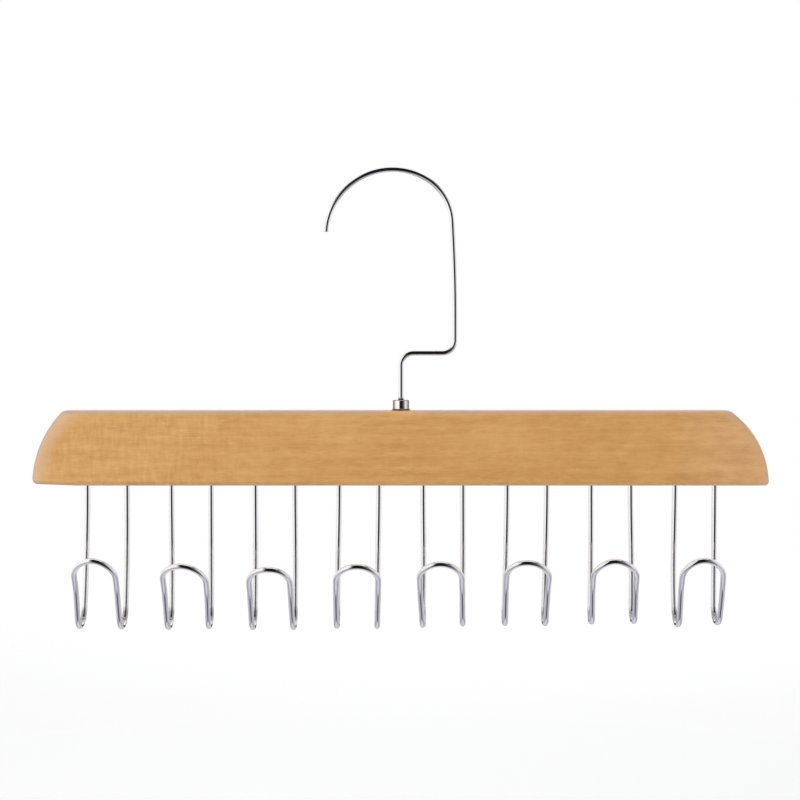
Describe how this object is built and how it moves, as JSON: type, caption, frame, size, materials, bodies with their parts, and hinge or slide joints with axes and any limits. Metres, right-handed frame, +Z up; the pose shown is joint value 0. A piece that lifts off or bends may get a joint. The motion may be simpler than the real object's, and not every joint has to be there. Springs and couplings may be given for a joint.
{
  "type": "multi-hook hanger",
  "caption": "Wooden bar hanger with a swivelling open wire hook on top and a row of forward-opening double-pronged wire hooks under the bar.",
  "frame": {"origin": "rail seat: the point on the inside of the top hook's crown straight above the stem, where the balanced hanger rests on a rail", "axes": "+X along the bar, to the side where the top hook's upright stands; +Y to the back; +Z up. The wire hooks open to -Y."},
  "size_m": [0.3698, 0.0429, 0.232],
  "materials": {
    "bar_wood": "semi-gloss clear lacquer on light hardwood",
    "ferrule_nickel": "bright nickel plate",
    "hook_chrome": "bright chrome plate on round steel wire",
    "wire_chrome": "bright chrome plate on round steel wire"
  },
  "bodies": {
    "hook": {"swivel_hook": "hook_chrome"},
    "hanger": {"wood_bar": "bar_wood", "ferrule": "ferrule_nickel", "wire_hook_1": "wire_chrome", "wire_hook_2": "wire_chrome", "wire_hook_3": "wire_chrome", "wire_hook_4": "wire_chrome", "wire_hook_5": "wire_chrome", "wire_hook_6": "wire_chrome", "wire_hook_7": "wire_chrome", "wire_hook_8": "wire_chrome"}
  },
  "joints": [
    {"name": "hook_swivel", "type": "hinge", "parent": "hook", "child": "hanger", "pos_m": [0, 0, -0.1196], "axis": [0, 0, 1], "continuous": true}
  ]
}
